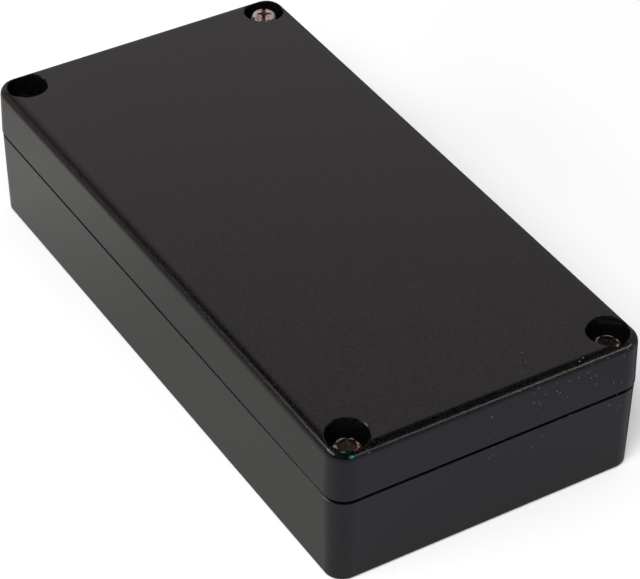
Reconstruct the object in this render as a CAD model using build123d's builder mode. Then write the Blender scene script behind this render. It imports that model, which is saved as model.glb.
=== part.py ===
from build123d import *
import os

os.makedirs("parts", exist_ok=True)

# A two-part instrument case: a tray-shaped base, a capping lid and four long screws down the corners.
# Sizes are millimetres. Z is up, the underside lies on Z = 0 and the box is centred on X and Y.

# Overall size, taken at the lower edge of the lid, where the box is widest
length = 152.0
width = 75.0
height = 34.3
corner_radius = 4.7

# The parting line: the base's rim, the shadow gap above it and the set-back below the lid's edge
rim_height = 21.2
seam_gap = 0.5
base_inset = 0.15

# Wall sections
wall = 2.4
floor_thickness = 2.4
roof_thickness = 2.4

# Mould draft in degrees, and how the outer edges are eased
lid_draft = 1.1
base_draft = 1.3
top_edge_radius = 2.4
lid_edge_chamfer = 0.3
rim_edge_chamfer = 0.15
bottom_edge_radius = 0.55

# Lid screws: how far their axes stand in from the box's ends and sides
screw_end_inset = 5.85
screw_side_inset = 6.1

# Pan head machine screw, which reaches a little way past its insert
screw_thread_diameter = 3.0
screw_reach = 3.0
screw_tip_chamfer = 0.4
head_diameter = 6.0
head_height = 2.4
head_side_height = 1.0
head_crown_diameter = 4.0

# Cross recess in the screw's head
cross_span = 3.0
cross_wing = 0.7
cross_depth = 1.5

# Each corner's side in X and Y, and how far its screw's cross is turned, in degrees
corner_sides = {
    "front_left": (-1, -1, 30.0),
    "front_right": (1, -1, 58.0),
    "back_left": (-1, 1, 60.0),
    "back_right": (1, 1, 14.0),
}

# One screw isn't driven home
raised_corner = "back_left"
raised_screw_rise = 2.25

# Recess over each screw head, and the turret round it
recess_diameter = 9.24
recess_depth = 5.4
recess_rim_chamfer = 0.25
screw_hole_clearance = 0.2
turret_wall = 1.8

# Corner pillars of the base and their threaded inserts
pillar_diameter = 9.2
insert_outer_diameter = 4.4
insert_length = 5.5
insert_set_down = 0.3
insert_running_clearance = 0.05
pillar_bore_clearance = 0.25
screw_tip_room = 2.0

# Locating lip on the base's rim, and the rebate for it in the lid
lip_height = 1.8
lip_thickness = 1.0
lip_clearance = 0.3

# Board bosses on the floor, with blind holes for self-tapping screws
boss_spacing_x = 120.0
boss_spacing_y = 50.0
boss_diameter = 6.0
boss_height = 5.0
boss_hole_diameter = 2.4
boss_hole_depth = 5.5

# Board guides: pairs of ribs with a slot between them, up the inside of the base's walls
guide_slot = 2.0
guide_rib_thickness = 1.2
guide_rib_depth = 1.5
guide_rib_root = 1.0
guide_top_drop = 1.2
long_guide_count = 5
long_guide_pitch = 24.0
short_guide_count = 3
short_guide_pitch = 14.0

# Heights worked out from the values above
lid_edge_height = rim_height + seam_gap
roof_underside = height - roof_thickness
seat_height = height - recess_depth
insert_bottom = lid_edge_height - insert_set_down - insert_length
screw_tip_height = insert_bottom - screw_reach
screw_length = seat_height - screw_tip_height
boss_top = floor_thickness + boss_height
guide_top = rim_height - guide_top_drop

# How far inside the lid's lower edge each wall face stands, at the parting line
base_cavity_inset = base_inset + wall
lip_inset = base_cavity_inset - lip_thickness
rebate_inset = lip_inset - lip_clearance

# Screw axes
screw_x = length / 2 - screw_end_inset
screw_y = width / 2 - screw_side_inset
corners = [(side_x * screw_x, side_y * screw_y) for side_x, side_y, turn in corner_sides.values()]

# Radii of what shares those axes
thread_radius = screw_thread_diameter / 2
screw_hole_radius = thread_radius + screw_hole_clearance
recess_radius = recess_diameter / 2
turret_radius = recess_radius + turret_wall
pillar_radius = pillar_diameter / 2
insert_outer_radius = insert_outer_diameter / 2
insert_bore_radius = thread_radius + insert_running_clearance
pillar_bore_radius = thread_radius + pillar_bore_clearance


def outline(inset, mode=Mode.ADD):
    """The box's rounded rectangle, drawn inset from the lid's lower edge."""
    RectangleRounded(length - 2 * inset, width - 2 * inset, corner_radius - inset, mode=mode)


def discs(radius, mode=Mode.ADD):
    """A disc on each screw axis."""
    with Locations(*corners):
        Circle(radius, mode=mode)


# Base: a drafted tray with a pillar in each corner
with BuildPart() as base:
    with BuildSketch(Plane.XY.offset(rim_height)):
        outline(base_inset)
    extrude(amount=-rim_height, taper=base_draft)
    fillet(base.edges().group_by(Axis.Z)[0], bottom_edge_radius)
    chamfer(base.edges().group_by(Axis.Z)[-1], rim_edge_chamfer)

    with BuildSketch(Plane.XY.offset(rim_height)):
        outline(base_cavity_inset)
        discs(pillar_radius, Mode.SUBTRACT)
    extrude(amount=floor_thickness - rim_height, taper=base_draft, mode=Mode.SUBTRACT)

    # Pillar tops, which the lid's turrets stand on
    with BuildSketch(Plane.XY.offset(rim_height)):
        discs(pillar_radius)
    extrude(amount=seam_gap)

    # Locating lip, left open round the turrets
    with BuildSketch(Plane.XY.offset(rim_height)):
        outline(lip_inset)
        outline(base_cavity_inset, Mode.SUBTRACT)
        discs(turret_radius + lip_clearance, Mode.SUBTRACT)
    extrude(amount=lip_height)

    # Guide ribs on the long walls, rooted in the wall
    rib_span = guide_rib_depth + guide_rib_root
    rib_offset = guide_slot / 2 + guide_rib_thickness / 2
    long_rib_y = width / 2 - base_cavity_inset - rib_span / 2 + guide_rib_root
    short_rib_x = length / 2 - base_cavity_inset - rib_span / 2 + guide_rib_root
    with BuildSketch(Plane.XY.offset(floor_thickness)):
        for side in (-1, 1):
            for flank in (-1, 1):
                with Locations((flank * rib_offset, side * long_rib_y)):
                    with GridLocations(long_guide_pitch, 1, long_guide_count, 1):
                        Rectangle(guide_rib_thickness, rib_span)
                with Locations((side * short_rib_x, flank * rib_offset)):
                    with GridLocations(1, short_guide_pitch, 1, short_guide_count):
                        Rectangle(rib_span, guide_rib_thickness)
    extrude(amount=guide_top - floor_thickness)

    # Board bosses
    with BuildSketch(Plane.XY.offset(floor_thickness)):
        with GridLocations(boss_spacing_x, boss_spacing_y, 2, 2):
            Circle(boss_diameter / 2)
    extrude(amount=boss_height)
    with Locations((0, 0, boss_top)):
        with GridLocations(boss_spacing_x, boss_spacing_y, 2, 2):
            Hole(boss_hole_diameter / 2, depth=boss_hole_depth)

    # Pillar bores: a seat for the insert, then room for the screw's tip
    with Locations(*[(x, y, lid_edge_height) for x, y in corners]):
        CounterBoreHole(
            radius=pillar_bore_radius,
            counter_bore_radius=insert_outer_radius,
            counter_bore_depth=lid_edge_height - insert_bottom,
            depth=lid_edge_height - screw_tip_height + screw_tip_room,
        )

base.part.label = "base"
export_step(base.part, "parts/base.step")


# Lid: a drafted cap with a screw turret in each corner
with BuildPart() as lid:
    with BuildSketch(Plane.XY.offset(lid_edge_height)):
        outline(0)
    extrude(amount=height - lid_edge_height, taper=lid_draft)
    fillet(lid.edges().group_by(Axis.Z)[-1], top_edge_radius)
    chamfer(lid.edges().group_by(Axis.Z)[0], lid_edge_chamfer)

    with BuildSketch(Plane.XY.offset(lid_edge_height)):
        outline(wall)
        discs(turret_radius, Mode.SUBTRACT)
    extrude(amount=roof_underside - lid_edge_height, taper=lid_draft, mode=Mode.SUBTRACT)

    # Rebate that the base's lip stands in
    with BuildSketch(Plane.XY.offset(lid_edge_height)):
        outline(rebate_inset)
        discs(turret_radius, Mode.SUBTRACT)
    extrude(amount=lip_height - seam_gap + lip_clearance, mode=Mode.SUBTRACT)

    # Screw recesses, with a softened rim
    with Locations(*[(x, y, height) for x, y in corners]):
        CounterBoreHole(
            radius=screw_hole_radius,
            counter_bore_radius=recess_radius,
            counter_bore_depth=recess_depth,
            depth=height - lid_edge_height,
        )
    recess_middle = (seat_height + height) / 2
    rims = lid.edges(Select.LAST).filter_by(lambda edge: edge.bounding_box().min.Z > recess_middle)
    chamfer(rims, recess_rim_chamfer)

lid.part.label = "lid"
export_step(lid.part, "parts/lid.step")


# Lid screws and the inserts that they run into, one pair in each corner
for corner, (side_x, side_y, turn) in corner_sides.items():
    x = side_x * screw_x
    y = side_y * screw_y
    rise = raised_screw_rise if corner == raised_corner else 0.0
    head_base = seat_height + rise

    with BuildPart() as screw:
        with BuildSketch(Plane((x, y, head_base), x_dir=(1, 0, 0), z_dir=(0, -1, 0))):
            with BuildLine():
                Polyline(
                    (0, head_height),
                    (head_crown_diameter / 2, head_height),
                    (head_diameter / 2, head_side_height),
                    (head_diameter / 2, 0),
                    (thread_radius, 0),
                    (thread_radius, screw_tip_chamfer - screw_length),
                    (thread_radius - screw_tip_chamfer, -screw_length),
                    (0, -screw_length),
                    close=True,
                )
            make_face()
        revolve(axis=Axis((x, y, 0), (0, 0, 1)))
        with BuildSketch(Plane((x, y, head_base + head_height)).rotated((0, 0, turn))):
            Rectangle(cross_span, cross_wing)
            Rectangle(cross_wing, cross_span)
        extrude(amount=-cross_depth, mode=Mode.SUBTRACT)
    screw.part.label = "screw_" + corner
    export_step(screw.part, "parts/screw_" + corner + ".step")

    with BuildPart() as insert:
        with BuildSketch(Plane.XY.offset(insert_bottom)):
            with Locations((x, y)):
                Circle(insert_outer_radius)
                Circle(insert_bore_radius, mode=Mode.SUBTRACT)
        extrude(amount=insert_length)
    insert.part.label = "insert_" + corner
    export_step(insert.part, "parts/insert_" + corner + ".step")
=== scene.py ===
import bmesh
import bpy
import math
from mathutils import Matrix, Vector


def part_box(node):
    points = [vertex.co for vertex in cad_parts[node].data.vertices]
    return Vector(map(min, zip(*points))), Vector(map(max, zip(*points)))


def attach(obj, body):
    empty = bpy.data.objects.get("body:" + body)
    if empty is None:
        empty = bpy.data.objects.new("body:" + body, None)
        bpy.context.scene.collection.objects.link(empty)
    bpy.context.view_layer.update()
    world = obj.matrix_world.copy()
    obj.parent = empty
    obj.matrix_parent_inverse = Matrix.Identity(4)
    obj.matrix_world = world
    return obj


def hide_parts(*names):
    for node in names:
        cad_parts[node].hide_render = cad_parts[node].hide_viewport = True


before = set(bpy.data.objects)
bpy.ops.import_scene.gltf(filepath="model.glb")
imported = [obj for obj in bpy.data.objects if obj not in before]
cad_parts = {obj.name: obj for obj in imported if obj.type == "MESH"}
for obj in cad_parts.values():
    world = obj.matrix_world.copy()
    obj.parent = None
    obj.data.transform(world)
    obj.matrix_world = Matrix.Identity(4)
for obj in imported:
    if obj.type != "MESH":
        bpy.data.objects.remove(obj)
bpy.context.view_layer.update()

bpy.context.scene.view_settings.view_transform = "Standard"
millimetres = 1000  # in a metre


def addObject(name, data):
    added = bpy.data.objects.new(name, data)
    bpy.context.scene.collection.objects.link(added)
    return added


# Small helpers for wiring nodes. A value is a number, a tuple or another node's output.
def wire(tree, source, target):
    tree.links.new(source, target)


def feed(tree, value, socket):
    if isinstance(value, bpy.types.NodeSocket):
        wire(tree, value, socket)
    else:
        socket.default_value = value


def mathNode(tree, operation, *values):
    node = tree.nodes.new("ShaderNodeMath")
    node.operation = operation
    for place, value in enumerate(values):
        feed(tree, value, node.inputs[place])
    return node.outputs[0]


def product(tree, first, *others):
    for other in others:
        first = mathNode(tree, "MULTIPLY", first, other)
    return first


def oneMinus(tree, value):
    return mathNode(tree, "SUBTRACT", 1.0, value)


def vectorNode(tree, operation, *values):
    node = tree.nodes.new("ShaderNodeVectorMath")
    node.operation = operation
    for place, value in enumerate(values):
        feed(tree, value, node.inputs["Scale" if operation == "SCALE" and place == 1 else place])
    return node.outputs["Value" if operation in ("DOT_PRODUCT", "LENGTH") else "Vector"]


def axesOf(tree, vector):
    split = tree.nodes.new("ShaderNodeSeparateXYZ")
    wire(tree, vector, split.inputs[0])
    return [split.outputs[axis] for axis in "XYZ"]


def fromAxis(tree, place):  # how far a place is from Z
    return vectorNode(tree, "LENGTH", vectorNode(tree, "MULTIPLY", place, (1, 1, 0)))


def smoothStep(tree, value, low, high):
    node = tree.nodes.new("ShaderNodeMapRange")
    node.interpolation_type = "SMOOTHSTEP"
    feed(tree, value, node.inputs["Value"])
    feed(tree, low, node.inputs["From Min"])
    feed(tree, high, node.inputs["From Max"])
    return node.outputs["Result"]


def mixColour(tree, share, first, second):
    node = tree.nodes.new("ShaderNodeMix")
    node.data_type = "RGBA"
    feed(tree, share, node.inputs["Factor"])
    for name, value in (("A", first), ("B", second)):
        feed(tree, (*value, 1) if isinstance(value, tuple) else value, node.inputs[name])
    return node.outputs["Result"]


def mixValue(tree, share, first, second):
    node = tree.nodes.new("ShaderNodeMix")
    feed(tree, share, node.inputs["Factor"])
    feed(tree, first, node.inputs["A"])
    feed(tree, second, node.inputs["B"])
    return node.outputs["Result"]


def noiseNode(tree, place, scale, detail=2.0):
    noise = tree.nodes.new("ShaderNodeTexNoise")
    noise.inputs["Detail"].default_value = detail
    wire(tree, place, noise.inputs["Vector"])
    feed(tree, scale, noise.inputs["Scale"])
    return noise.outputs["Fac"]


def bumpNode(tree, height, distance, normal=None):
    bump = tree.nodes.new("ShaderNodeBump")
    bump.inputs["Strength"].default_value = 1.0
    wire(tree, height, bump.inputs["Height"])
    feed(tree, distance, bump.inputs["Distance"])
    if normal is not None:
        wire(tree, normal, bump.inputs["Normal"])
    return bump.outputs["Normal"]


def newGroup(name, kind, inputs, outputs):
    group = bpy.data.node_groups.new(name, kind)
    for socketName, socketType, default in inputs:
        socket = group.interface.new_socket(name=socketName, in_out="INPUT", socket_type=socketType)
        if default is not None:
            socket.default_value = default
    for socketName, socketType in outputs:
        group.interface.new_socket(name=socketName, in_out="OUTPUT", socket_type=socketType)
    return group, group.nodes.new("NodeGroupInput").outputs, group.nodes.new("NodeGroupOutput").inputs


def placeGroup(tree, group, settings):
    node = tree.nodes.new("ShaderNodeGroup")
    node.node_tree = group
    for name, value in settings.items():
        feed(tree, value, node.inputs[name])
    return node


def newMaterial(name):
    material = bpy.data.materials.new(name)
    material.use_nodes = True
    tree = material.node_tree
    tree.nodes.clear()
    shader = tree.nodes.new("ShaderNodeBsdfPrincipled")
    output = tree.nodes.new("ShaderNodeOutputMaterial")
    wire(tree, shader.outputs["BSDF"], output.inputs["Surface"])
    return material, tree, shader


def towards(azimuth, elevation):
    az, el = math.radians(azimuth), math.radians(elevation)
    return Vector((math.cos(az) * math.cos(el), math.sin(az) * math.cos(el), math.sin(el)))


# The camera. Angles are in degrees, lengths in metres, the lens and its sensor in millimetres.
viewpoint = {
    "azimuth": -31.521,  # from +X towards +Y, as for the lamps
    "elevation": 38.324,
    "roll": 0.640,
    "distance": 0.61181,
    "aimHeight": 0.01714,
    "shiftRight": 0.004219,
    "shiftUp": -0.005749,
    "lens": 155.66,
    "sensor": 36.0,
    "nearestSeen": 0.01,
}


def placeCamera(values):
    back = towards(values["azimuth"], values["elevation"])
    level = Vector((0, 0, 1)).cross(back).normalized()
    upright = back.cross(level)
    roll = math.radians(values["roll"])
    right = level * math.cos(roll) + upright * math.sin(roll)
    up = upright * math.cos(roll) - level * math.sin(roll)
    spot = Vector((0, 0, values["aimHeight"])) + back * values["distance"]
    spot += right * values["shiftRight"] + up * values["shiftUp"]
    cameraData = bpy.data.cameras.new("photoCamera")
    cameraData.lens = values["lens"]
    cameraData.sensor_width = values["sensor"]
    cameraData.clip_start = values["nearestSeen"]
    camera = addObject("photoCamera", cameraData)
    camera.matrix_world = Matrix.Translation(spot) @ Matrix((right, up, back)).transposed().to_4x4()
    bpy.context.scene.camera = camera


placeCamera(viewpoint)
print("the camera stands where the photo was taken")


# Lamps. Brightness is the radiance of the lamp's own face.
lamps = {
    "keySoftbox": {
        "azimuth": -50, "elevation": 54, "distance": 1.0, "size": (0.5, 0.5), "brightness": 8.5,
        "colour": (1.0, 0.99, 0.98), "seenInGloss": False,
    },
    "frontStrip": {
        "azimuth": -104, "elevation": 27, "distance": 1.2, "size": (1.0, 0.26), "brightness": 3.8,
        "colour": (1.0, 0.94, 0.98), "seenInGloss": True,
    },
}


def hangLamp(name, values):
    away = towards(values["azimuth"], values["elevation"])
    width, height = values["size"]
    lampData = bpy.data.lights.new(name, "AREA")
    lampData.shape = "RECTANGLE"
    lampData.size = width
    lampData.size_y = height
    lampData.energy = values["brightness"] * math.pi * width * height
    lampData.color = values["colour"]
    lamp = addObject(name, lampData)
    facing = away.to_track_quat("Z", "Y").to_matrix().to_4x4()
    lamp.matrix_world = Matrix.Translation(away * values["distance"]) @ facing
    lamp.visible_glossy = values["seenInGloss"]


for lampName, values in lamps.items():
    hangLamp(lampName, values)


# The room that the gloss shows: a pale wall behind the box, a dark side in front of it, and a few small lights.
# Angles are in degrees, and each patch gives its middle, its reach either way and the width of its soft edge.
room = {
    "dome": 0.38,  # even light on everything, apart from what gloss shows
    "wall": (0.272, 0.250, 0.262),
    "wallPatches": {
        "upperWall": {"azimuth": (150, 180, 1), "elevation": (65, 30, 14), "light": (0.110, 0.095, 0.102)},
        "highWall": {"azimuth": (118, 22, 14), "elevation": (59, 10, 8), "light": (0.215, 0.195, 0.200)},
        "paleBand": {"azimuth": (174, 26, 22), "elevation": (25, 6, 10), "light": (0.290, 0.275, 0.275)},
        "paleCorner": {"azimuth": (178, 16, 8), "elevation": (35, 5, 5), "light": (0.210, 0.190, 0.185)},
        "warmLeft": {"azimuth": (209, 7, 6), "elevation": (14, 14, 8), "light": (0.085, 0.030, 0.010)},
        "leftFoot": {"azimuth": (205, 20, 12), "elevation": (3, 8, 8), "light": (0.150, 0.120, 0.105)},
    },
    "darkSide": {"azimuth": -55, "elevation": 40, "reach": 73.5, "fade": 5},
    "darkLevel": (0.001, 0.001, 0.001),
    "lights": {
        "leftWindow": {"azimuth": (238, 7, 3), "elevation": (22, 5, 4), "light": (1.75, 1.30, 1.12)},
        "warmStrip": {"azimuth": (42, 10, 5), "elevation": (14.5, 2, 2), "light": (7.0, 5.2, 4.7)},
        "coolStrip": {"azimuth": (25, 4, 3), "elevation": (14, 2, 2), "light": (2.6, 2.2, 2.1)},
        "blueLamp": {"azimuth": (7, 5, 2), "elevation": (18, 5, 3), "light": (2.6, 14.0, 20.0)},
        "overhead": {"azimuth": (-45, 16, 10), "elevation": (74, 6, 5), "light": (0.95, 3.8, 3.5)},
    },
}


def makeSkyPatch():
    inputs = [("Direction", "NodeSocketVector", None)]
    for side in ("Azimuth", "Elevation"):
        for suffix in ("", " Reach", " Fade"):
            inputs.append((side + suffix, "NodeSocketFloat", 10.0))
    group, given, result = newGroup("skyPatch", "ShaderNodeTree", inputs, [("Mask", "NodeSocketFloat")])
    x, y, z = axesOf(group, given["Direction"])
    azimuth = mathNode(group, "DEGREES", mathNode(group, "ARCTAN2", y, x))
    elevation = mathNode(group, "DEGREES", mathNode(group, "ARCSINE", z))
    turned = mathNode(group, "WRAP", mathNode(group, "SUBTRACT", azimuth, given["Azimuth"]), 180.0, -180.0)
    risen = mathNode(group, "SUBTRACT", elevation, given["Elevation"])
    sides = []
    for distance, side in ((turned, "Azimuth"), (risen, "Elevation")):
        reach = given[side + " Reach"]
        limit = mathNode(group, "ADD", reach, given[side + " Fade"])
        sides.append(oneMinus(group, smoothStep(group, mathNode(group, "ABSOLUTE", distance), reach, limit)))
    wire(group, product(group, *sides), result["Mask"])
    return group


def buildRoom(values):
    world = bpy.data.worlds.new("room")
    bpy.context.scene.world = world
    world.use_nodes = True
    tree = world.node_tree
    tree.nodes.clear()
    direction = tree.nodes.new("ShaderNodeTexCoord").outputs["Generated"]
    skyPatch = makeSkyPatch()

    def addPatches(total, patches):
        for name, data in patches.items():
            settings = {"Direction": direction}
            for side in ("azimuth", "elevation"):
                for suffix, value in zip(("", " Reach", " Fade"), data[side]):
                    settings[side.capitalize() + suffix] = value
            node = placeGroup(tree, skyPatch, settings)
            node.label = name
            total = vectorNode(tree, "MULTIPLY_ADD", node.outputs["Mask"], data["light"], total)
        return total

    wall = addPatches(values["wall"], values["wallPatches"])
    dark = values["darkSide"]
    lean = vectorNode(tree, "DOT_PRODUCT", direction, tuple(towards(dark["azimuth"], dark["elevation"])))
    inner, outer = (math.cos(math.radians(dark["reach"] + spare)) for spare in (0, dark["fade"]))
    lit = vectorNode(tree, "SCALE", wall, oneMinus(tree, smoothStep(tree, lean, outer, inner)))
    shown = addPatches(vectorNode(tree, "ADD", lit, values["darkLevel"]), values["lights"])

    path = tree.nodes.new("ShaderNodeLightPath")
    plain = mixValue(tree, path.outputs["Is Camera Ray"], values["dome"], 1.0)
    background = tree.nodes.new("ShaderNodeBackground")
    output = tree.nodes.new("ShaderNodeOutputWorld")
    wire(tree, mixColour(tree, path.outputs["Is Glossy Ray"], plain, shown), background.inputs["Color"])
    wire(tree, background.outputs["Background"], output.inputs["Surface"])


buildRoom(room)
print("the lamps and the room are in place")


# The floor is white to the camera. In the box's gloss it carries painted light and shade: it is greyer, brighter
# beside the box's left end, bluer beyond its right end, dimmer further off, and darker with painted shadow behind
# the box and past its left end. It isn't there for eyes below it, nor for light on its way to the underside that
# stands on it. Lengths are in metres.
floorPaint = {
    "size": 6.0,
    "level": -0.0002,
    "openBelow": 0.001,  # light rays shorter than this pass it
    "seen": (0.95, 0.95, 0.95),
    "lift": 0.20,  # added for the camera alone, so that the open floor comes out white
    # the colours below are painted light and shade, seen only in the box's gloss
    "besideBox": (0.495, 0.495, 0.480),
    "besideFarEnd": (0.730, 0.730, 0.705),
    "brightensAt": (0.010, 0.090),  # towards -X
    "beyondEnd": (0.475, 0.480, 0.575),
    "endsAt": (0.060, 0.100),  # towards +X
    "farOff": (0.27, 0.26, 0.28),
    "dimsAt": (0.090, 0.20),  # from the middle
    "farInFront": (0.35, 0.33, 0.31),
    "frontEndsAt": (-0.120, -0.030),  # towards +Y
    "behind": (0.19, 0.19, 0.195),
    "pastLeftEnd": (0.074, 0.088),  # towards -X
    "leftEndStartsAt": (-0.044, -0.032),  # towards +Y
    "pastBack": (0.030, 0.042),  # towards +Y
    "pastRightEnd": (0.070, 0.080),  # towards +X
}


def layFloor(values):
    half, level = values["size"] / 2, values["level"]
    mesh = bpy.data.meshes.new("floor")
    outline = [(-half, -half, level), (half, -half, level), (half, half, level), (-half, half, level)]
    mesh.from_pydata(outline, [], [(0, 1, 2, 3)])
    floor = addObject("floor", mesh)
    material, tree, shader = newMaterial("floorPaint")

    def past(value, limits):
        return smoothStep(tree, value, *values[limits])

    place = tree.nodes.new("ShaderNodeTexCoord").outputs["Object"]
    x, y = axesOf(tree, place)[:2]
    left = product(tree, x, -1.0)
    # painted light: brighter towards the box's left end, bluer past its right end, dimmer further off
    near = mixColour(tree, past(x, "endsAt"), values["besideBox"], values["beyondEnd"])
    near = mixColour(tree, past(left, "brightensAt"), near, values["besideFarEnd"])
    distant = mixColour(tree, past(y, "frontEndsAt"), values["farInFront"], values["farOff"])
    openFloor = mixColour(tree, past(vectorNode(tree, "LENGTH", place), "dimsAt"), near, distant)
    # painted shadow behind the box and past its left end
    leftEnd = product(tree, past(left, "pastLeftEnd"), past(y, "leftEndStartsAt"))
    back = product(tree, oneMinus(tree, past(x, "pastRightEnd")), past(y, "pastBack"))
    paintedGlossTone = mixColour(tree, mathNode(tree, "MAXIMUM", leftEnd, back), openFloor, values["behind"])

    path = tree.nodes.new("ShaderNodeLightPath")
    camera = path.outputs["Is Camera Ray"]
    wire(tree, mixColour(tree, camera, paintedGlossTone, values["seen"]), shader.inputs["Base Color"])
    shader.inputs["Emission Color"].default_value = (1, 1, 1, 1)
    wire(tree, product(tree, camera, values["lift"]), shader.inputs["Emission Strength"])
    short = mathNode(tree, "LESS_THAN", path.outputs["Ray Length"], values["openBelow"])
    fromBelow = tree.nodes.new("ShaderNodeNewGeometry").outputs["Backfacing"]
    wire(tree, oneMinus(tree, mathNode(tree, "MAXIMUM", short, fromBelow)), shader.inputs["Alpha"])
    shader.inputs["Roughness"].default_value = 1.0
    shader.inputs["Specular IOR Level"].default_value = 0.0
    mesh.materials.append(material)


layFloor(floorPaint)
print("the floor is laid")


# Surface effects that more than one finish uses. Their sizes are in the units of the place that is fed to them.
surfaceEffects = {
    "fleckFineness": 1.3,  # against the grain's
    "fleckDetail": 1.0,
    "fleckRange": (0.3, 0.7),
    "speckLeast": 0.35,  # a dust speck's least radius, in given ones, and how much more it may be
    "speckSpread": 1.3,
    "marksDetail": 3.0,
}


def makeFineGrain(values):
    inputs = [("Place", "NodeSocketVector", None)]
    inputs += [("Size", "NodeSocketFloat", 0.0003), ("Depth", "NodeSocketFloat", 0.00001)]
    outputs = [("Normal", "NodeSocketVector"), ("Fleck", "NodeSocketFloat")]
    group, given, result = newGroup("fineGrain", "ShaderNodeTree", inputs, outputs)
    scale = mathNode(group, "DIVIDE", 1.0, given["Size"])
    grain = noiseNode(group, given["Place"], scale)
    finer = product(group, scale, values["fleckFineness"])
    fleck = noiseNode(group, given["Place"], finer, values["fleckDetail"])
    wire(group, bumpNode(group, grain, given["Depth"]), result["Normal"])
    wire(group, smoothStep(group, fleck, *values["fleckRange"]), result["Fleck"])
    return group


def makeDustSpecks(values):
    inputs = [("Place", "NodeSocketVector", None)]
    for socketName, default in (("Cell", 0.004), ("Speck", 0.0001), ("Amount", 0.2)):
        inputs.append((socketName, "NodeSocketFloat", default))
    group, given, result = newGroup("dustSpecks", "ShaderNodeTree", inputs, [("Mask", "NodeSocketFloat")])
    cells = group.nodes.new("ShaderNodeTexVoronoi")
    wire(group, given["Place"], cells.inputs["Vector"])
    wire(group, mathNode(group, "DIVIDE", 1.0, given["Cell"]), cells.inputs["Scale"])
    chance = group.nodes.new("ShaderNodeSeparateColor")
    wire(group, cells.outputs["Color"], chance.inputs[0])
    spread = mathNode(group, "MULTIPLY_ADD", chance.outputs[0], values["speckSpread"], values["speckLeast"])
    distance = product(group, cells.outputs["Distance"], given["Cell"])
    inside = mathNode(group, "LESS_THAN", distance, product(group, given["Speck"], spread))
    kept = mathNode(group, "LESS_THAN", chance.outputs[1], given["Amount"])
    wire(group, product(group, inside, kept), result["Mask"])
    return group


def makeTurningMarks(values):
    inputs = [("Place", "NodeSocketVector", None), ("Pitch", "NodeSocketFloat", 0.05)]
    group, given, result = newGroup("turningMarks", "ShaderNodeTree", inputs, [("Marks", "NodeSocketFloat")])
    ring = group.nodes.new("ShaderNodeCombineXYZ")
    wire(group, fromAxis(group, given["Place"]), ring.inputs["X"])
    wire(group, axesOf(group, given["Place"])[2], ring.inputs["Y"])
    fineness = mathNode(group, "DIVIDE", 1.0, given["Pitch"])
    wire(group, noiseNode(group, ring.outputs[0], fineness, values["marksDetail"]), result["Marks"])
    return group


fineGrain = makeFineGrain(surfaceEffects)
dustSpecks = makeDustSpecks(surfaceEffects)
turningMarks = makeTurningMarks(surfaceEffects)


def dustMask(tree, values, place, amount):
    settings = {"Place": place, "Cell": values["dustCell"], "Speck": values["dustSpeck"], "Amount": amount}
    return placeGroup(tree, dustSpecks, settings).outputs["Mask"]


# Glossy black moulded plastic for the base and the lid. Lengths are in metres.
casePlastic = {
    "colour": (0.0038, 0.0035, 0.0037),
    "colourSpread": 0.0040,
    "roughness": 0.205,
    "roughnessSpread": 0.05,
    "smudgeSize": 0.035,
    "smudgeSpread": 0.02,
    "specular": 0.5,
    "grainSize": 0.00040,
    "grainDepth": 0.000009,
    "dustColour": (0.17, 0.20, 0.20),
    "dustCell": 0.0011,
    "dustSpeck": 0.00010,
    "dustAmount": 0.02,
    "endDust": 0.80,  # more of it lies on the end towards +X, on its far upper half
    "endDustFrom": (0.066, 0.0755),
    "farDustFrom": (-0.012, 0.018),
    "highDustFrom": (0.014, 0.022),
    "topDust": 0.12,  # the share of it that lies on the top
    "topDustFrom": (0.0325, 0.0340),
}


def makePlastic(values):
    material, tree, shader = newMaterial("casePlastic")
    place = tree.nodes.new("ShaderNodeTexCoord").outputs["Object"]
    x, y, z = axesOf(tree, place)
    settings = {"Place": place, "Size": values["grainSize"], "Depth": values["grainDepth"]}
    grain = placeGroup(tree, fineGrain, settings)
    limits = ((x, "endDustFrom"), (y, "farDustFrom"), (z, "highDustFrom"))
    end = product(tree, *(smoothStep(tree, axis, *values[name]) for axis, name in limits))
    amount = mathNode(tree, "MULTIPLY_ADD", end, values["endDust"], values["dustAmount"])
    top = smoothStep(tree, z, *values["topDustFrom"])
    dust = dustMask(tree, values, place, product(tree, amount, mixValue(tree, top, 1.0, values["topDust"])))
    smudge = noiseNode(tree, place, 1 / values["smudgeSize"])
    spread = mathNode(tree, "MULTIPLY_ADD", grain.outputs["Fleck"], 2.0, -1.0)  # from -1 to 1
    tone = vectorNode(tree, "MULTIPLY_ADD", spread, (values["colourSpread"],) * 3, values["colour"])
    wire(tree, mixColour(tree, dust, tone, values["dustColour"]), shader.inputs["Base Color"])
    soft = mathNode(tree, "MULTIPLY_ADD", smudge, values["smudgeSpread"], values["roughness"])
    rough = mathNode(tree, "MULTIPLY_ADD", spread, values["roughnessSpread"], soft)
    wire(tree, mathNode(tree, "MAXIMUM", rough, dust), shader.inputs["Roughness"])
    wire(tree, grain.outputs["Normal"], shader.inputs["Normal"])
    shader.inputs["Specular IOR Level"].default_value = values["specular"]
    return material


plastic = makePlastic(casePlastic)
for shell in ("base", "lid"):
    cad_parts[shell].data.materials.clear()
    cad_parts[shell].data.materials.append(plastic)
print("the shells have their plastic")
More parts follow.
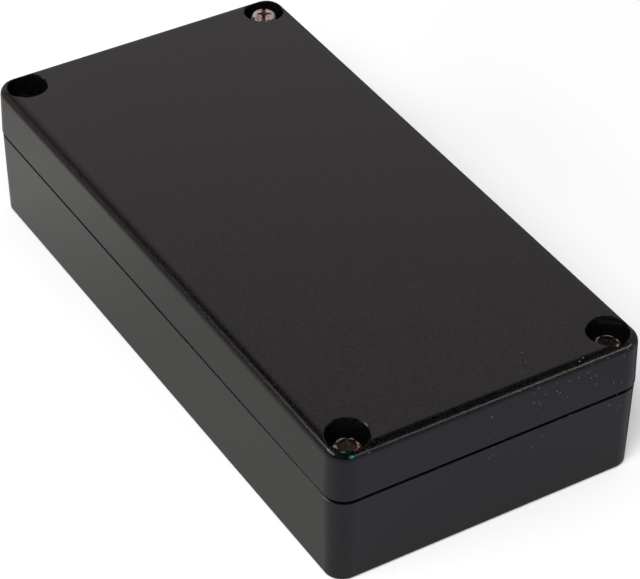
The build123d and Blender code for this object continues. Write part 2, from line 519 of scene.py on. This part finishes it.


# Plated steel of the screws. The polish, with its painted light, is each screw's own: from 0, dull and painted
# dark, to 1, bright and painted light; below 0 it paints shade over the head. Lengths in millimetres.
screwSteel = {
    # the dull end is partly painted shade: heads with polish near 0 get this dark brown
    "dullShaded": (0.042, 0.031, 0.023),
    "paintedShade": (0.006, 0.005, 0.005),  # painted shade: the more of it, the further the polish and painted light is below 0
    "bright": (0.78, 0.67, 0.59),
    "patina": (0.52, 0.33, 0.25),  # on the bright parts, in blotches
    "patinaSize": 0.9,
    "patinaFrom": (0.42, 0.62),
    "blotch": 0.25,  # how much the polish and painted light change from fleck to fleck
    "shankPolish": 0.6,  # the same on each screw, below its head
    "shankEndsAt": (-0.5, -0.1),
    "rimHighlightFrom": (1.85, 2.35),  # the head's rim carries a painted highlight between these radii
    "rimHighlightPatches": (0.46, 0.57),  # the painted highlight comes and goes with the patina
    "rimHighlightRange": (0.12, 1.0),  # least and most painted highlight
    # the rim's bright colour is mostly not metal, so it shows as a painted highlight whatever it faces
    "rimMetallic": 0.30,
    # painted shade in the cross recess and the slot
    "recess": (0.055, 0.038, 0.027),
    "recessMetallic": 0.35,
    "recessRoughness": 0.42,
    "roughness": (0.40, 0.16),  # dull and shaded, then bright
    "grainSize": 0.12,
    "grainDepth": 0.004,
    "marksPitch": 0.07,
    "marksDepth": 0.003,
    "marksRoughness": 0.10,
    "dustColour": (0.45, 0.43, 0.40),
    "dustCell": 1.1,
    "dustSpeck": 0.05,
    "dustAmount": 0.25,
}

# Brass of the threaded inserts, in millimetres
insertBrass = {
    "colour": (0.80, 0.60, 0.28),
    "tarnish": (0.42, 0.27, 0.11),
    "tarnishShare": 0.45,
    "roughness": (0.24, 0.42),
    "grainSize": 0.25,
    "grainDepth": 0.005,
    "marksPitch": 0.06,
    "marksDepth": 0.003,
}


def ownAttribute(tree, name, output):
    node = tree.nodes.new("ShaderNodeAttribute")
    node.attribute_name = name
    return node.outputs[output]


# The place is in millimetres, but depths reach the shader in metres
def markedNormal(tree, values, place):
    settings = {"Place": place, "Size": values["grainSize"], "Depth": values["grainDepth"] / millimetres}
    grain = placeGroup(tree, fineGrain, settings)
    marks = placeGroup(tree, turningMarks, {"Place": place, "Pitch": values["marksPitch"]}).outputs["Marks"]
    normal = bumpNode(tree, marks, values["marksDepth"] / millimetres, grain.outputs["Normal"])
    return grain.outputs["Fleck"], marks, normal


def makeScrewSteel(values):
    material, tree, shader = newMaterial("screwSteel")
    place = ownAttribute(tree, "ownPlace", "Vector")
    fleck, marks, normal = markedNormal(tree, values, place)
    stain = noiseNode(tree, place, 1 / values["patinaSize"])

    # how bright the steel is, with its painted light, and how far it is painted into shade
    # a painted highlight on the head's rim, with lower roughness there too
    rimHighlightStrength = mixValue(tree, smoothStep(tree, stain, *values["rimHighlightPatches"]), *values["rimHighlightRange"])
    rim = product(tree, smoothStep(tree, fromAxis(tree, place), *values["rimHighlightFrom"]), rimHighlightStrength)
    rimHighlight = product(tree, rim, ownAttribute(tree, "rimHighlight", "Fac"))
    head = smoothStep(tree, axesOf(tree, place)[2], *values["shankEndsAt"])
    own = mixValue(tree, head, values["shankPolish"], ownAttribute(tree, "polishAndPaintedLight", "Fac"))
    blotch = mathNode(tree, "MULTIPLY_ADD", fleck, values["blotch"], -values["blotch"] / 2)
    polishAndPaintedLight = mathNode(tree, "ADD", mathNode(tree, "MAXIMUM", own, rimHighlight), blotch)
    share = mathNode(tree, "MINIMUM", mathNode(tree, "MAXIMUM", polishAndPaintedLight, 0.0), 1.0)
    # painted shade: below 0 the polish blends the head towards black
    black = mathNode(tree, "MAXIMUM", product(tree, own, -1.0), 0.0)
    black = product(tree, black, oneMinus(tree, share))

    # painted shade on the faces of the cross recess and the slot
    recess = ownAttribute(tree, "inRecess", "Fac")
    dust = dustMask(tree, values, place, values["dustAmount"])
    plated = mixColour(tree, smoothStep(tree, stain, *values["patinaFrom"]), values["bright"], values["patina"])
    colour = mixColour(tree, recess, mixColour(tree, share, values["dullShaded"], plated), values["recess"])
    colour = mixColour(tree, dust, colour, values["dustColour"])
    wire(tree, mixColour(tree, black, colour, values["paintedShade"]), shader.inputs["Base Color"])

    rough = mixValue(tree, recess, mixValue(tree, share, *values["roughness"]), values["recessRoughness"])
    rough = mathNode(tree, "SUBTRACT", rough, values["marksRoughness"] / 2)
    rough = mathNode(tree, "MULTIPLY_ADD", marks, values["marksRoughness"], rough)
    wire(tree, rough, shader.inputs["Roughness"])
    wire(tree, normal, shader.inputs["Normal"])
    # the rim stays mostly not metal, so its bright colour is a painted highlight
    metallic = mixValue(tree, rim, 1.0, values["rimMetallic"])
    wire(tree, mixValue(tree, recess, metallic, values["recessMetallic"]), shader.inputs["Metallic"])
    return material


def makeInsertBrass(values):
    material, tree, shader = newMaterial("insertBrass")
    fleck, _, normal = markedNormal(tree, values, ownAttribute(tree, "ownPlace", "Vector"))
    tarnished = product(tree, fleck, values["tarnishShare"])
    wire(tree, mixColour(tree, tarnished, values["colour"], values["tarnish"]), shader.inputs["Base Color"])
    wire(tree, mixValue(tree, fleck, *values["roughness"]), shader.inputs["Roughness"])
    wire(tree, normal, shader.inputs["Normal"])
    shader.inputs["Metallic"].default_value = 1.0
    return material


steel = makeScrewSteel(screwSteel)
brass = makeInsertBrass(insertBrass)
print("the screws' steel and the inserts' brass are mixed")


def paintAndPutOut(group, geometry, material, result):
    realize = group.nodes.new("GeometryNodeRealizeInstances")
    wire(group, geometry, realize.inputs[0])
    paint = group.nodes.new("GeometryNodeSetMaterial")
    wire(group, realize.outputs[0], paint.inputs["Geometry"])
    wire(group, material, paint.inputs["Material"])
    wire(group, paint.outputs[0], result["Geometry"])


# Ridges that wind round a turned piece, for its threads and knurls. The tree moves the points that stand
# between two radii and two heights, all in the piece's own units.
def makeHelicalRidges():
    inputs = [("Geometry", "NodeSocketGeometry", None), ("Starts", "NodeSocketFloat", 1.0)]
    for socketName in ("Lead", "Depth", "Low", "High", "Fade", "Inner Radius", "Outer Radius", "Sharpness"):
        inputs.append((socketName, "NodeSocketFloat", 1.0))
    inputs.append(("Material", "NodeSocketMaterial", None))
    outputs = [("Geometry", "NodeSocketGeometry")]
    group, asked, result = newGroup("helicalRidges", "GeometryNodeTree", inputs, outputs)
    x, y, z = axesOf(group, group.nodes.new("GeometryNodeInputPosition").outputs[0])
    radius = mathNode(group, "SQRT", mathNode(group, "ADD", product(group, x, x), product(group, y, y)))

    # the ridge's section, from 0 in its valleys to 1 along its top
    turns = mathNode(group, "DIVIDE", mathNode(group, "ARCTAN2", y, x), 2 * math.pi)
    climb = mathNode(group, "DIVIDE", product(group, z, asked["Starts"]), asked["Lead"])
    phase = mathNode(group, "FRACT", mathNode(group, "SUBTRACT", climb, product(group, turns, asked["Starts"])))
    wave = oneMinus(group, mathNode(group, "ABSOLUTE", mathNode(group, "MULTIPLY_ADD", phase, 2.0, -1.0)))
    ridge = mathNode(group, "MINIMUM", product(group, wave, asked["Sharpness"]), 1.0)

    # it grows and shrinks at its two ends
    rising = smoothStep(group, z, asked["Low"], mathNode(group, "ADD", asked["Low"], asked["Fade"]))
    falling = smoothStep(group, z, mathNode(group, "SUBTRACT", asked["High"], asked["Fade"]), asked["High"])
    ends = product(group, rising, oneMinus(group, falling))
    height = product(group, ridge, asked["Depth"], ends)

    outside = mathNode(group, "GREATER_THAN", radius, asked["Inner Radius"])
    inside = mathNode(group, "LESS_THAN", radius, asked["Outer Radius"])
    growth = mathNode(group, "DIVIDE", height, mathNode(group, "MAXIMUM", radius, 0.01))  # safe on the axis
    growth = product(group, growth, outside, inside)
    offset = group.nodes.new("ShaderNodeCombineXYZ")
    wire(group, product(group, x, growth), offset.inputs["X"])
    wire(group, product(group, y, growth), offset.inputs["Y"])
    move = group.nodes.new("GeometryNodeSetPosition")
    wire(group, asked["Geometry"], move.inputs["Geometry"])
    wire(group, offset.outputs[0], move.inputs["Offset"])
    paintAndPutOut(group, move.outputs[0], asked["Material"], result)
    return group


# Puts a copy of a finished fastener in its corner. The tree keeps each point's place on the fastener, in
# millimetres, and the fastener's polish with its painted light and shade, and its painted rim highlight, for the
# materials to read.
def makeCornerFastener():
    inputs = [
        ("Geometry", "NodeSocketGeometry", None),
        ("Fastener", "NodeSocketObject", None),
        ("Seat", "NodeSocketVector", None),
        ("Turn", "NodeSocketFloat", 0.0),
        ("Scale", "NodeSocketFloat", 0.001),
        ("Polish", "NodeSocketFloat", 0.5),
        ("Rubbed", "NodeSocketFloat", 1.0),
        ("Material", "NodeSocketMaterial", None),
    ]
    outputs = [("Geometry", "NodeSocketGeometry")]
    group, asked, result = newGroup("cornerFastener", "GeometryNodeTree", inputs, outputs)
    taken = group.nodes.new("GeometryNodeObjectInfo")
    wire(group, asked["Fastener"], taken.inputs["Object"])
    geometry = taken.outputs["Geometry"]
    position = group.nodes.new("GeometryNodeInputPosition").outputs[0]
    kept = (
        ("ownPlace", "FLOAT_VECTOR", position),
        ("polishAndPaintedLight", "FLOAT", asked["Polish"]),
        ("rimHighlight", "FLOAT", asked["Rubbed"]),
    )
    for name, kind, value in kept:
        store = group.nodes.new("GeometryNodeStoreNamedAttribute")
        store.data_type = kind
        store.inputs["Name"].default_value = name
        wire(group, geometry, store.inputs["Geometry"])
        wire(group, value, store.inputs["Value"])
        geometry = store.outputs["Geometry"]
    points = group.nodes.new("GeometryNodePoints")
    points.inputs["Count"].default_value = 1
    wire(group, asked["Seat"], points.inputs["Position"])
    turn = group.nodes.new("ShaderNodeCombineXYZ")
    wire(group, asked["Turn"], turn.inputs["Z"])
    spread = group.nodes.new("GeometryNodeInstanceOnPoints")
    wire(group, points.outputs[0], spread.inputs["Points"])
    wire(group, geometry, spread.inputs["Instance"])
    wire(group, turn.outputs[0], spread.inputs["Rotation"])
    wire(group, asked["Scale"], spread.inputs["Scale"])
    paintAndPutOut(group, spread.outputs[0], asked["Material"], result)
    return group


helicalRidges = makeHelicalRidges()
cornerFastener = makeCornerFastener()


# A closed mesh turned from a closed profile of (radius, height) points, which runs counterclockwise
def lathe(name, profile, sides):
    mesh = bpy.data.meshes.new(name)
    vertices, rings = [], []
    for radius, height in profile:
        if radius < 1e-6:  # on the axis
            rings.append([len(vertices)] * sides)
            vertices.append((0, 0, height))
        else:
            rings.append(list(range(len(vertices), len(vertices) + sides)))
            for step in range(sides):
                angle = 2 * math.pi * step / sides
                vertices.append((radius * math.cos(angle), radius * math.sin(angle), height))
    faces = []
    for place, ring in enumerate(rings):
        above = rings[(place + 1) % len(rings)]
        for step in range(sides):
            after = (step + 1) % sides
            face = []
            for vertex in (ring[step], ring[after], above[after], above[step]):
                if vertex not in face:
                    face.append(vertex)
            if len(face) > 2:
                faces.append(face)
    mesh.from_pydata(vertices, [], faces)
    return mesh


# The mesh as it comes out of the modifiers that dress() puts on it. Any objects that dress() returns go too.
def applied(mesh, name, dress):
    holder = addObject(name, mesh)
    extras = dress(holder) or []
    depsgraph = bpy.context.evaluated_depsgraph_get()
    finished = bpy.data.meshes.new_from_object(holder.evaluated_get(depsgraph), depsgraph=depsgraph)
    for spare in (holder, *extras):
        bpy.data.objects.remove(spare)
    finished.name = name
    return finished


def addTree(holder, group, settings):
    modifier = holder.modifiers.new(group.name, "NODES")
    modifier.node_group = group
    for item in group.interface.items_tree:
        if item.item_type == "SOCKET" and item.in_out == "INPUT" and item.name in settings:
            modifier[item.identifier] = settings[item.name]


# Winds ridges on the points that stand at one radius, give or take a little
def windRidges(holder, radius, settings):
    give = 0.02
    addTree(holder, helicalRidges, {"Inner Radius": radius - give, "Outer Radius": radius + give, **settings})


# Smooth shading, with the edges sharper than the limit kept crisp
def shadeByAngle(mesh, limit):
    work = bmesh.new()
    work.from_mesh(mesh)
    bmesh.ops.recalc_face_normals(work, faces=work.faces)
    for face in work.faces:
        face.smooth = True
    for edge in work.edges:
        edge.smooth = len(edge.link_faces) == 2 and edge.calc_face_angle(0) < math.radians(limit)
    work.to_mesh(mesh)
    work.free()


# The finished screw, in millimetres from its head's seat
screwShape = {
    "headHeight": 2.4,
    "headRadius": 3.0,
    "headSide": 1.0,
    "rimRadius": 0.75,
    "rimBends": 10,
    "crownDrop": 0.22,
    "crownBow": 2.2,
    "crownRings": 7,
    "edgeEase": 0.15,  # of the head's lower edge and the neck's
    "neckLength": 0.6,
    "coreRadius": 1.2,
    "threadDepth": 0.3,
    "threadSharpness": 1.25,
    "threadStart": 0.25,  # up from the tip
    "threadFade": 0.5,
    "pitch": 0.5,
    "tipRadius": 0.95,
    "tipLength": 0.3,
    "sides": 64,
    "rowsPerTurn": 8,
    "crossSpan": 3.1,
    "crossWing": 0.72,
    "crossFootSpan": 1.9,
    "crossFootWing": 0.5,
    "crossDepth": 1.6,
    "funnelRadius": 0.95,
    "funnelFootRadius": 0.08,
    "funnelDepth": 1.1,
    "funnelSides": 16,
    "slotWidth": 0.85,
    "slotDepth": 0.8,
    "crispAngle": 30,
}


# A prism or taper through (corners, height) levels, all with the same number of corners
def stackLevels(name, levels):
    count = len(levels[0][0])
    vertices = [(px, py, height) for corners, height in levels for px, py in corners]
    last = count * (len(levels) - 1)
    faces = [tuple(range(count - 1, -1, -1)), tuple(range(last, last + count))]
    for level in range(0, last, count):
        for step in range(count):
            after = (step + 1) % count
            faces.append((level + step, level + after, level + count + after, level + count + step))
    mesh = bpy.data.meshes.new(name)
    mesh.from_pydata(vertices, [], faces)
    return mesh


def crossCorners(span, wing):
    corners = []
    for quarter in range(4):
        across, up = math.cos(quarter * math.pi / 2), math.sin(quarter * math.pi / 2)
        for px, py in ((span / 2, -wing / 2), (span / 2, wing / 2), (wing / 2, wing / 2)):
            corners.append((px * across - py * up, px * up + py * across))
    return corners


def roundCorners(radius, count):
    angles = [2 * math.pi * (step + 0.5) / count for step in range(count)]
    return [(radius * math.cos(angle), radius * math.sin(angle)) for angle in angles]


def makeScrew(values, length):
    top, side, rim = values["headHeight"], values["headSide"], values["headRadius"]
    core, neck, thread = values["coreRadius"], values["neckLength"], values["threadDepth"]
    ease, tip, bends, rings = values["edgeEase"], values["tipLength"], values["rimBends"], values["crownRings"]
    profile = [(0, -length), (values["tipRadius"], -length)]
    threaded = length - tip - neck
    rows = int(round(threaded * values["rowsPerTurn"] / values["pitch"]))
    for row in range(rows + 1):
        profile.append((core, threaded * row / rows - length + tip))
    profile += [(core + thread, ease - neck), (core + thread, 0), (rim - ease, 0), (rim, ease), (rim, side)]
    # the rounded rim, then the crown's shallow bow up to the middle
    shoulder = rim - values["rimRadius"]
    shoulderTop = top - values["crownDrop"]
    for bend in range(1, bends + 1):
        angle = math.pi / 2 * bend / bends
        across, up = values["rimRadius"] * math.cos(angle), (shoulderTop - side) * math.sin(angle)
        profile.append((shoulder + across, side + up))
    for ring in range(1, rings):
        share = 1 - ring / rings
        profile.append((shoulder * share, top - values["crownDrop"] * share ** values["crownBow"]))
    profile.append((0, top))
    body = lathe("screwBody", profile, values["sides"])

    def wound(holder):
        windRidges(holder, core, {
            "Starts": 1.0, "Lead": values["pitch"], "Depth": thread, "Sharpness": values["threadSharpness"],
            "Low": values["threadStart"] - length, "High": -neck, "Fade": values["threadFade"], "Material": steel,
        })

    def driven(holder):
        over = 0.5  # how far the cutters stand out of the head
        deep, funnel = top - values["crossDepth"], top - values["funnelDepth"]
        foot = crossCorners(values["crossFootSpan"], values["crossFootWing"])
        mouth = crossCorners(values["crossSpan"], values["crossWing"])
        narrow = roundCorners(values["funnelFootRadius"], values["funnelSides"])
        wide = roundCorners(values["funnelRadius"] * (1 + over / values["funnelDepth"]), values["funnelSides"])
        across, reach = values["slotWidth"] / 2, rim + over
        slot = [(-across, -reach), (across, -reach), (across, reach), (-across, reach)]
        cutters = [
            stackLevels("crossCutter", [(foot, deep), (mouth, top), (mouth, top + over)]),
            stackLevels("funnelCutter", [(narrow, funnel), (wide, top + over)]),
            stackLevels("slotCutter", [(slot, top - values["slotDepth"]), (slot, top + over)]),
        ]
        tools = []
        for cutter in cutters:
            tool = addObject(cutter.name, cutter)
            modifier = holder.modifiers.new(cutter.name, "BOOLEAN")
            modifier.object = tool
            modifier.operation = "DIFFERENCE"
            modifier.solver = "EXACT"
            tools.append(tool)
        return tools

    def crownAt(span):
        if span < shoulder:
            return top - values["crownDrop"] * (span / shoulder) ** values["crownBow"]
        past = (span - shoulder) / values["rimRadius"]
        return side + (shoulderTop - side) * math.sqrt(max(0, 1 - past ** 2))

    mesh = applied(applied(body, "woundScrew", wound), "finishedScrew", driven)
    shadeByAngle(mesh, values["crispAngle"])
    # mark the faces that the cutters left, which the steel paints with shade
    beside, below, aboveSeat = 0.01, 0.03, 0.3
    flags = mesh.attributes.new("inRecess", "FLOAT", "FACE")
    for face in mesh.polygons:
        x, y, z = face.center
        span = math.hypot(x, y)
        inCross = span < values["crossSpan"] / 2 + beside
        inSlot = abs(x) < values["slotWidth"] / 2 + beside
        sunk = aboveSeat < z < crownAt(span) - below
        flags.data[face.index].value = 1.0 if sunk and (inCross or inSlot) else 0.0
    return mesh


# The finished insert, in millimetres from its lower end
insertShape = {
    "outerRadius": 2.2,
    "knurlDepth": 0.16,
    "knurlTeeth": 26,
    "knurlLead": 30.0,
    "knurlSharpness": 1.2,
    "knurlRow": 0.07,
    "knurlEnd": 0.1,  # bare at either end
    "grooveRadius": 1.9,
    "grooveHalfWidth": 0.35,
    "grooveOverlap": 0.05,  # how far the knurls' fading runs into the groove
    "boreRadius": 1.55,
    "threadDepth": 0.14,
    "threadSharpness": 1.3,
    "threadRow": 0.0625,
    "pitch": 0.5,
    "fade": 0.2,
    "mouthChamfer": 0.2,
    "sides": 208,
    "crispAngle": 35,
}


def makeInsert(values, height):
    outer, bore, groove, ease = (values[k] for k in ("outerRadius", "boreRadius", "grooveRadius", "mouthChamfer"))
    root = outer - values["knurlDepth"]
    middle, gap = height / 2, values["grooveHalfWidth"]
    rows = int(height / values["knurlRow"])
    levels = [height * row / rows for row in range(rows + 1)]
    profile = [(groove if abs(level - middle) < gap else root, level) for level in levels]
    profile += [(bore + ease, height), (bore, height - ease)]
    rows = int((height - 2 * ease) / values["threadRow"])
    profile += [(bore, height - ease - (height - 2 * ease) * row / rows) for row in range(1, rows)]
    profile += [(bore, ease), (bore + ease, 0)]
    body = lathe("insertBody", profile, values["sides"])

    def dressed(holder):
        end, overlap = values["knurlEnd"], values["grooveOverlap"]
        bands = ((1, end, middle - gap + overlap), (-1, middle + gap - overlap, height - end))
        for hand, low, high in bands:
            windRidges(holder, root, {
                "Starts": float(values["knurlTeeth"]), "Lead": hand * values["knurlLead"],
                "Depth": values["knurlDepth"], "Sharpness": values["knurlSharpness"],
                "Low": low, "High": high, "Fade": values["fade"], "Material": brass,
            })
        windRidges(holder, bore, {
            "Starts": 1.0, "Lead": values["pitch"],
            "Depth": values["threadDepth"], "Sharpness": values["threadSharpness"],
            "Low": ease, "High": height - ease, "Fade": values["fade"], "Material": brass,
        })

    mesh = applied(body, "finishedInsert", dressed)
    shadeByAngle(mesh, values["crispAngle"])
    return mesh


# How far each corner's screw is turned, in degrees, its polish, which also paints its head lighter or, below 0,
# into shade, and how much painted highlight its rim carries
corners = {
    "front_left": {"turn": 30.0, "polishAndPaintedLight": -1.0, "rimHighlight": 0.0},
    "front_right": {"turn": 58.0, "polishAndPaintedLight": 0.0, "rimHighlight": 1.0},
    "back_left": {"turn": 60.0, "polishAndPaintedLight": 0.95, "rimHighlight": 1.0},
    "back_right": {"turn": 14.0, "polishAndPaintedLight": -0.5, "rimHighlight": 1.0},
}


def standIn(name, fastener, seat, settings, node, body):
    def placed(holder):
        addTree(holder, cornerFastener, {"Fastener": fastener, "Seat": seat, "Scale": 1 / millimetres, **settings})

    piece = addObject(name, applied(bpy.data.meshes.new(name), name, placed))
    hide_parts(node)
    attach(piece, body)


def overMiddle(low, high, height):
    return Vector(((low.x + high.x) / 2, (low.y + high.y) / 2, height))


low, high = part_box("screw_front_left")
screwMesh = makeScrew(screwShape, (high.z - low.z) * millimetres - screwShape["headHeight"])
screw = addObject(screwMesh.name, screwMesh)
print("the screw is made, with", len(screw.data.polygons), "faces")
low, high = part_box("insert_front_left")
insertMesh = makeInsert(insertShape, (high.z - low.z) * millimetres)
insert = addObject(insertMesh.name, insertMesh)
print("the insert is made, with", len(insert.data.polygons), "faces")
for corner, values in corners.items():
    turn = math.radians(values["turn"])
    low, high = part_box("screw_" + corner)
    seat = overMiddle(low, high, high.z - screwShape["headHeight"] / millimetres)
    # the polish paints light or shade on each head, and the rim highlight paints its rim bright
    settings = {"Turn": turn, "Polish": values["polishAndPaintedLight"], "Rubbed": values["rimHighlight"], "Material": steel}
    standIn("finishedScrew_" + corner, screw, seat, settings, "screw_" + corner, "screw_" + corner)
    low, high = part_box("insert_" + corner)
    foot = overMiddle(low, high, low.z)
    settings = {"Turn": turn, "Material": brass}
    standIn("finishedInsert_" + corner, insert, foot, settings, "insert_" + corner, "base")
for pattern in (screw, insert):
    bpy.data.objects.remove(pattern)
print("screws and inserts are in their corners")
